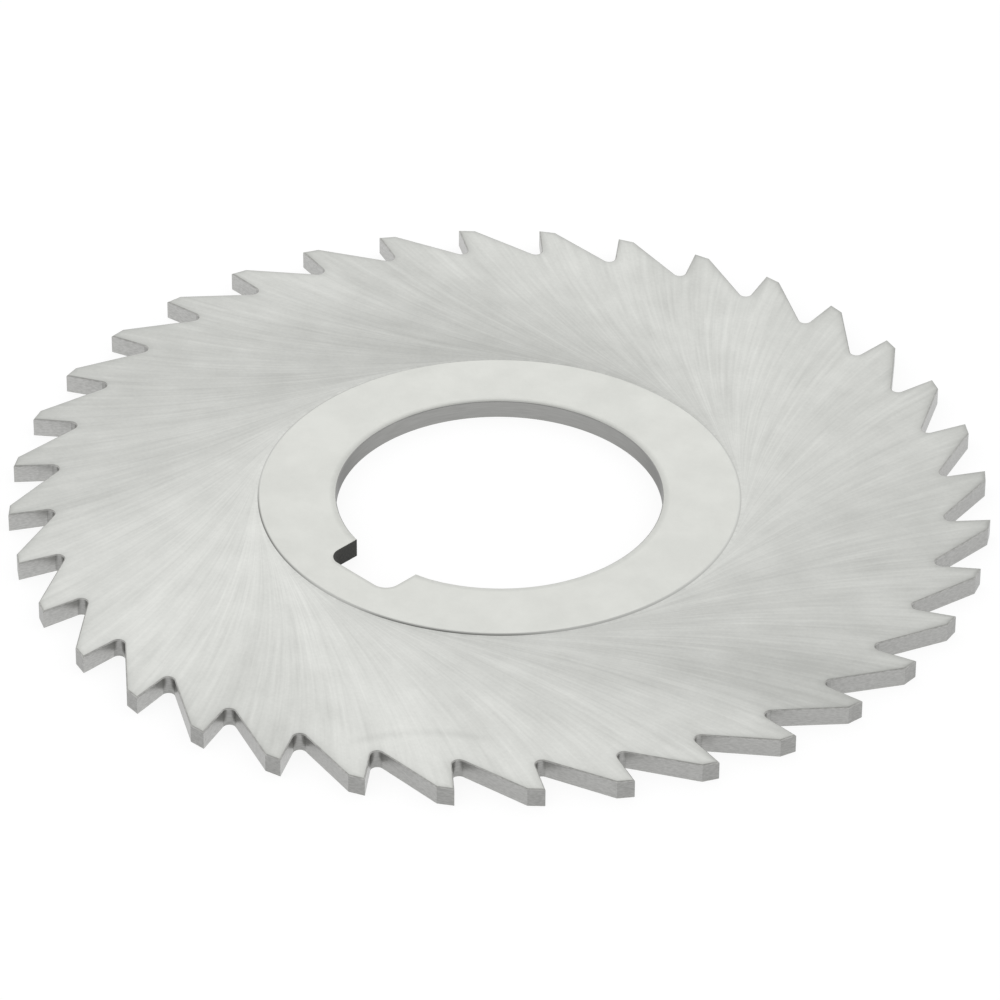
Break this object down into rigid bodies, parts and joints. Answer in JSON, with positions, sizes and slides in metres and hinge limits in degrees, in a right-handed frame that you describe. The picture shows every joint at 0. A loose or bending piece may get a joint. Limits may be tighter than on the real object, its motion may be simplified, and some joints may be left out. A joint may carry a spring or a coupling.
{
  "type": "slitting saw",
  "caption": "Thin round metal-slitting saw with ratchet teeth on its rim, dished ground sides and a keyed central bore, for cutting slots or parting work on a milling arbor.",
  "frame": {"origin": "on the bore's axis, in the plane of the lower hub face, on which the saw lies", "axes": "+Z along the bore's axis, out of the upper hub face; -Y along the keyway's centreline; seen from +Z the teeth point counter-clockwise"},
  "size_m": [0.0762, 0.0762, 0.0016],
  "materials": {
    "ground_steel": "high-speed steel, ground on both sides"
  },
  "bodies": {
    "root": {"saw_blade": "ground_steel"}
  },
  "joints": []
}
